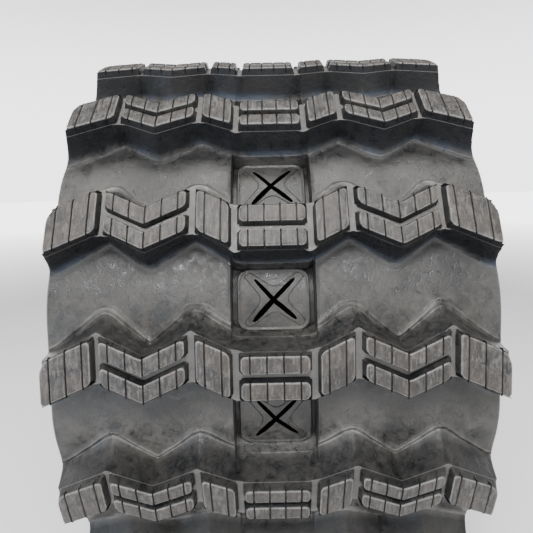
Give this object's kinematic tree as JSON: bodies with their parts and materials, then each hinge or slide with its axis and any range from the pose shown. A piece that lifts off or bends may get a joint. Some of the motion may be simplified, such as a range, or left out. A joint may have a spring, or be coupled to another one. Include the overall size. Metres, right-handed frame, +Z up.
{
  "type": "rubber track",
  "caption": "Endless steel-cored rubber crawler track with zigzag block tread and slit sprocket windows, standing free as a loop.",
  "frame": {"origin": "on the floor, under the middle of the loop", "axes": "+X across the track (pivot direction), +Y along the track from the front bend to the rear bend, +Z up"},
  "size_m": [0.32, 1.9774, 0.5154],
  "materials": {
    "rubber": "satin moulded black rubber",
    "core": "dark as forged",
    "cord": "brass plated wire rope"
  },
  "bodies": {
    "bottom_run": {"bottom_run_rubber": "rubber", "bottom_run_cores": "core", "bottom_run_cords_left": "cord", "bottom_run_cords_right": "cord"},
    "front_link_1": {"front_link_1_rubber": "rubber", "front_link_1_core": "core", "front_link_1_cords": "cord"},
    "front_link_2": {"front_link_2_rubber": "rubber", "front_link_2_core": "core", "front_link_2_cords": "cord"},
    "front_link_3": {"front_link_3_rubber": "rubber", "front_link_3_core": "core", "front_link_3_cords": "cord"},
    "front_link_4": {"front_link_4_rubber": "rubber", "front_link_4_core": "core", "front_link_4_cords": "cord"},
    "front_link_5": {"front_link_5_rubber": "rubber", "front_link_5_core": "core", "front_link_5_cords": "cord"},
    "front_link_6": {"front_link_6_rubber": "rubber", "front_link_6_core": "core", "front_link_6_cords": "cord"},
    "front_link_7": {"front_link_7_rubber": "rubber", "front_link_7_core": "core", "front_link_7_cords": "cord"},
    "top_run": {"top_run_rubber": "rubber", "top_run_cores": "core", "top_run_cords_left": "cord", "top_run_cords_right": "cord"},
    "rear_link_1": {"rear_link_1_rubber": "rubber", "rear_link_1_core": "core", "rear_link_1_cords": "cord"},
    "rear_link_2": {"rear_link_2_rubber": "rubber", "rear_link_2_core": "core", "rear_link_2_cords": "cord"},
    "rear_link_3": {"rear_link_3_rubber": "rubber", "rear_link_3_core": "core", "rear_link_3_cords": "cord"},
    "rear_link_4": {"rear_link_4_rubber": "rubber", "rear_link_4_core": "core", "rear_link_4_cords": "cord"},
    "rear_link_5": {"rear_link_5_rubber": "rubber", "rear_link_5_core": "core", "rear_link_5_cords": "cord"},
    "rear_link_6": {"rear_link_6_rubber": "rubber", "rear_link_6_core": "core", "rear_link_6_cords": "cord"},
    "rear_link_7": {"rear_link_7_rubber": "rubber", "rear_link_7_core": "core", "rear_link_7_cords": "cord"}
  },
  "joints": [
    {"name": "front_bend_1", "type": "hinge", "parent": "bottom_run", "child": "front_link_1", "pos_m": [0, -0.774, 0.0415], "axis": [-1, 0, 0], "range_deg": [-8, 8], "stiffness_Nm_per_rad": 2500, "springref_deg": 8.02},
    {"name": "front_bend_2", "type": "hinge", "parent": "front_link_1", "child": "front_link_2", "pos_m": [0, -0.85345, 0.07441], "axis": [-1, 0, 0], "range_deg": [-3.32, 3.32]},
    {"name": "front_bend_3", "type": "hinge", "parent": "front_link_2", "child": "front_link_3", "pos_m": [0, -0.91426, 0.13522], "axis": [-1, 0, 0], "range_deg": [-3.32, 3.32]},
    {"name": "front_bend_4", "type": "hinge", "parent": "front_link_3", "child": "front_link_4", "pos_m": [0, -0.94718, 0.21468], "axis": [-1, 0, 0], "range_deg": [-8.01, 8.01]},
    {"name": "front_bend_5", "type": "hinge", "parent": "front_link_4", "child": "front_link_5", "pos_m": [0, -0.94718, 0.30068], "axis": [-1, 0, 0], "range_deg": [-8.01, 8.01]},
    {"name": "front_bend_6", "type": "hinge", "parent": "front_link_5", "child": "front_link_6", "pos_m": [0, -0.91426, 0.38013], "axis": [-1, 0, 0], "range_deg": [-3.32, 3.32]},
    {"name": "front_bend_7", "type": "hinge", "parent": "front_link_6", "child": "front_link_7", "pos_m": [0, -0.85345, 0.44094], "axis": [-1, 0, 0], "range_deg": [-3.32, 3.32]},
    {"name": "front_bend_8", "type": "hinge", "parent": "front_link_7", "child": "top_run", "pos_m": [0, -0.774, 0.47385], "axis": [-1, 0, 0], "range_deg": [-8.01, 8.01]},
    {"name": "rear_bend_1", "type": "hinge", "parent": "bottom_run", "child": "rear_link_1", "pos_m": [0, 0.774, 0.0415], "axis": [1, 0, 0], "range_deg": [-8.01, 8.01]},
    {"name": "rear_bend_2", "type": "hinge", "parent": "rear_link_1", "child": "rear_link_2", "pos_m": [0, 0.85345, 0.07441], "axis": [1, 0, 0], "range_deg": [-3.32, 3.32]},
    {"name": "rear_bend_3", "type": "hinge", "parent": "rear_link_2", "child": "rear_link_3", "pos_m": [0, 0.91426, 0.13522], "axis": [1, 0, 0], "range_deg": [-3.32, 3.32]},
    {"name": "rear_bend_4", "type": "hinge", "parent": "rear_link_3", "child": "rear_link_4", "pos_m": [0, 0.94718, 0.21468], "axis": [1, 0, 0], "range_deg": [-8.01, 8.01]},
    {"name": "rear_bend_5", "type": "hinge", "parent": "rear_link_4", "child": "rear_link_5", "pos_m": [0, 0.94718, 0.30068], "axis": [1, 0, 0], "range_deg": [-8.01, 8.01]},
    {"name": "rear_bend_6", "type": "hinge", "parent": "rear_link_5", "child": "rear_link_6", "pos_m": [0, 0.91426, 0.38013], "axis": [1, 0, 0], "range_deg": [-3.32, 3.32]},
    {"name": "rear_bend_7", "type": "hinge", "parent": "rear_link_6", "child": "rear_link_7", "pos_m": [0, 0.85345, 0.44094], "axis": [1, 0, 0], "range_deg": [-3.32, 3.32]}
  ],
  "couplings": [
    {"joint": "front_bend_2", "follows": "front_bend_1", "ratio": 0.41421},
    {"joint": "front_bend_3", "follows": "front_bend_1", "ratio": -0.41421},
    {"joint": "front_bend_4", "follows": "front_bend_1", "ratio": -1},
    {"joint": "front_bend_5", "follows": "front_bend_1", "ratio": -1},
    {"joint": "front_bend_6", "follows": "front_bend_1", "ratio": -0.41421},
    {"joint": "front_bend_7", "follows": "front_bend_1", "ratio": 0.41421},
    {"joint": "front_bend_8", "follows": "front_bend_1", "ratio": 1},
    {"joint": "rear_bend_1", "follows": "front_bend_1", "ratio": 1},
    {"joint": "rear_bend_2", "follows": "front_bend_1", "ratio": 0.41421},
    {"joint": "rear_bend_3", "follows": "front_bend_1", "ratio": -0.41421},
    {"joint": "rear_bend_4", "follows": "front_bend_1", "ratio": -1},
    {"joint": "rear_bend_5", "follows": "front_bend_1", "ratio": -1},
    {"joint": "rear_bend_6", "follows": "front_bend_1", "ratio": -0.41421},
    {"joint": "rear_bend_7", "follows": "front_bend_1", "ratio": 0.41421}
  ]
}
